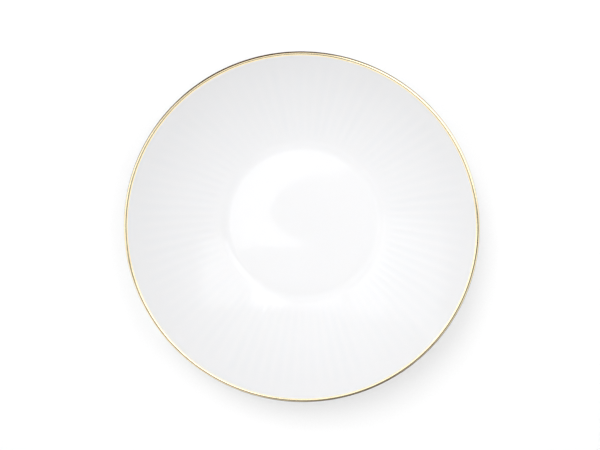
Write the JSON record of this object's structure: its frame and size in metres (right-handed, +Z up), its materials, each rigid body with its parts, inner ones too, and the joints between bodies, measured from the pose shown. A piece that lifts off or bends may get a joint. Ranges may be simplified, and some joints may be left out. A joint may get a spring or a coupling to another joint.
{
  "type": "serving bowl",
  "caption": "Round porcelain serving bowl: flat well, flared fluted wall, gilded rim band and low foot ring.",
  "frame": {"origin": "centre of the circle that the foot ring stands on", "axes": "+Z up along the bowl's axis, towards its mouth; X and Y lie in the plane it stands on"},
  "size_m": [0.26, 0.26, 0.06],
  "materials": {
    "glazed_porcelain": "gloss",
    "foot_porcelain": "gloss",
    "rim_gold": "polished"
  },
  "bodies": {
    "root": {"bowl_body": "glazed_porcelain", "foot_ring": "foot_porcelain", "gold_rim_band": "rim_gold"}
  },
  "joints": []
}
